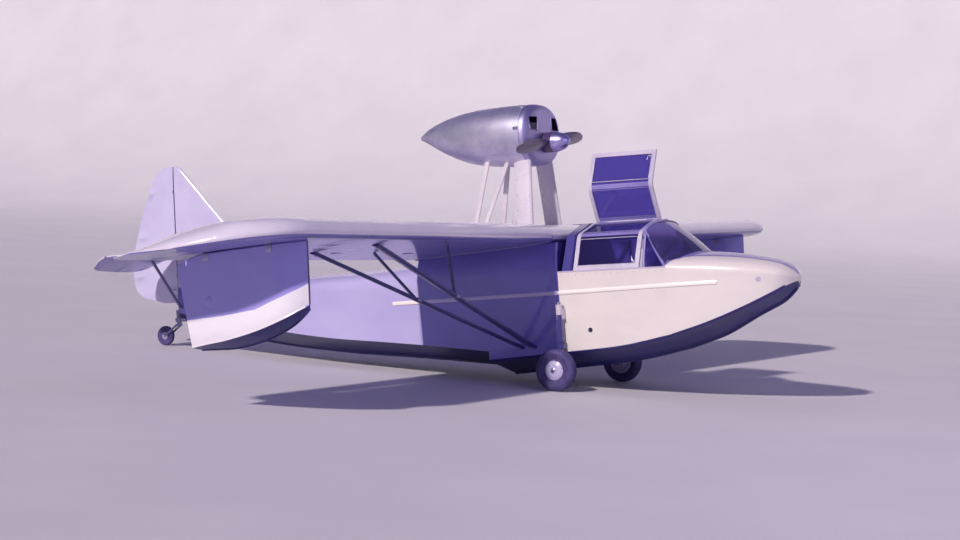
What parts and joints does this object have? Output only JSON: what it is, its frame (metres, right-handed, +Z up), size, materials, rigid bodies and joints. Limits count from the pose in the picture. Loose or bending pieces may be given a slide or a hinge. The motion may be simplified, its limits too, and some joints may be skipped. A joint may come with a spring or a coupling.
{
  "type": "flying boat",
  "caption": "Two-seat homebuilt amphibious flying boat with a strut-braced high wing, tip floats and a tractor engine on a pylon, parked on its wheels with one roof hatch open.",
  "frame": {"origin": "on the ground under the middle of the parked craft's box", "axes": "+X forward to the bow, +Y to port, +Z up"},
  "size_m": [7.278, 10.68, 2.5848],
  "materials": {
    "grey_hull": "gloss lavender grey paint over plywood",
    "blue_hull": "gloss blue paint over plywood",
    "white_hull": "gloss white paint over plywood",
    "wing_cloth": "doped cloth over a wooden frame, satin",
    "tail_cloth": "doped cloth over a wooden frame, satin",
    "white_metal": "gloss white paint",
    "blue_metal": "gloss blue paint",
    "bare_aluminium": "polished sheet",
    "engine_metal": "matte casting",
    "bare_steel": "satin grey paint",
    "dark_panel": "matte",
    "dark_wood": "gloss varnish, dark",
    "plywood": "satin varnish",
    "seat_vinyl": "matte",
    "clear_plastic": "gloss, faintly blue",
    "tyre_rubber": "matte",
    "solid_tyre": "matte"
  },
  "bodies": {
    "hull": {"hull_aft": "grey_hull", "hull_mid": "blue_hull", "cabin_bulkhead": "blue_hull", "hull_cockpit": "white_hull", "hull_bow": "white_hull", "cabin_frame": "blue_metal", "windscreen": "clear_plastic", "instrument_panel": "dark_panel", "control_yoke": "dark_panel", "rudder_pedals": "bare_steel", "tail_bracket": "bare_steel", "seat_box": "plywood", "wing_centre": "wing_cloth", "fin": "tail_cloth", "nacelle": "bare_aluminium", "nose_bowl": "bare_aluminium", "engine_block": "engine_metal", "quarter_window_port": "clear_plastic", "quarter_window_starboard": "clear_plastic", "seat_port": "seat_vinyl", "seat_starboard": "seat_vinyl", "wing_port": "wing_cloth", "wing_starboard": "wing_cloth", "lift_strut_front_port": "blue_metal", "lift_strut_front_starboard": "blue_metal", "lift_strut_rear_port": "blue_metal", "lift_strut_rear_starboard": "blue_metal", "tail_brace_port": "blue_metal", "tail_brace_starboard": "blue_metal", "pylon_front_port": "white_metal", "pylon_front_starboard": "white_metal", "pylon_rear_port": "white_metal", "pylon_rear_starboard": "white_metal", "tip_float_port": "blue_hull", "tip_float_starboard": "blue_hull", "tailplane_port": "tail_cloth", "tailplane_starboard": "tail_cloth", "gear_leg_port": "bare_steel", "gear_leg_starboard": "bare_steel"},
    "wheel_port": {"wheel_hub_port": "white_metal", "tyre_port": "tyre_rubber"},
    "wheel_starboard": {"wheel_hub_starboard": "white_metal", "tyre_starboard": "tyre_rubber"},
    "tail_fork": {"tail_fork": "bare_steel"},
    "tail_wheel": {"tail_wheel": "solid_tyre"},
    "rudder": {"rudder": "tail_cloth"},
    "elevators": {"elevator_port": "tail_cloth", "elevator_starboard": "tail_cloth"},
    "aileron_port": {"aileron_port": "wing_cloth"},
    "aileron_starboard": {"aileron_starboard": "wing_cloth"},
    "propeller": {"propeller": "dark_wood", "spinner": "bare_aluminium"},
    "hatch_port": {"hatch_frame_port": "white_metal", "hatch_roof_pane_port": "clear_plastic", "hatch_side_pane_port": "clear_plastic"},
    "hatch_starboard": {"hatch_frame_starboard": "white_metal", "hatch_roof_pane_starboard": "clear_plastic", "hatch_side_pane_starboard": "clear_plastic"}
  },
  "joints": [
    {"name": "wheel_port_spin", "type": "hinge", "parent": "hull", "child": "wheel_port", "pos_m": [1.63944, 0.711, 0.19], "axis": [0, 1, 0], "continuous": true},
    {"name": "wheel_starboard_spin", "type": "hinge", "parent": "hull", "child": "wheel_starboard", "pos_m": [1.63944, -0.711, 0.19], "axis": [0, 1, 0], "continuous": true},
    {"name": "tail_wheel_spin", "type": "hinge", "parent": "tail_fork", "child": "tail_wheel", "pos_m": [-3.19967, 0, 0.1], "axis": [0, 1, 0], "continuous": true},
    {"name": "propeller_spin", "type": "hinge", "parent": "hull", "child": "propeller", "pos_m": [1.1133, 0, 2.24129], "axis": [0.9942, 0, 0.108], "continuous": true},
    {"name": "rudder_swing", "type": "hinge", "parent": "hull", "child": "rudder", "pos_m": [-3.12072, 0, 1.13253], "axis": [-0.108, 0, 0.9942], "range_deg": [-28, 28]},
    {"name": "tail_steer", "type": "hinge", "parent": "hull", "child": "tail_fork", "pos_m": [-3.03744, 0, 0.23628], "axis": [-0.108, 0, 0.9942], "range_deg": [-28, 28]},
    {"name": "elevator_swing", "type": "hinge", "parent": "hull", "child": "elevators", "pos_m": [-3.10508, 0, 0.93305], "axis": [0, 1, 0], "range_deg": [-2, 54]},
    {"name": "aileron_port_swing", "type": "hinge", "parent": "hull", "child": "aileron_port", "pos_m": [0.29694, 3.85, 1.21334], "axis": [-0.0015, 0.9999, 0.0139], "range_deg": [-20, 20]},
    {"name": "aileron_starboard_swing", "type": "hinge", "parent": "hull", "child": "aileron_starboard", "pos_m": [0.29694, -3.85, 1.21334], "axis": [0.0015, 0.9999, -0.0139], "range_deg": [-20, 20]},
    {"name": "hatch_port_swing", "type": "hinge", "parent": "hull", "child": "hatch_port", "pos_m": [1.93808, 0.036, 1.5473], "axis": [0.9942, 0, 0.108], "range_deg": [-134, 0]},
    {"name": "hatch_starboard_swing", "type": "hinge", "parent": "hull", "child": "hatch_starboard", "pos_m": [1.93808, -0.036, 1.5473], "axis": [-0.9942, 0, -0.108], "range_deg": [0, 80]}
  ],
  "couplings": [
    {"joint": "tail_steer", "follows": "rudder_swing", "ratio": 1},
    {"joint": "aileron_starboard_swing", "follows": "aileron_port_swing", "ratio": -1}
  ]
}
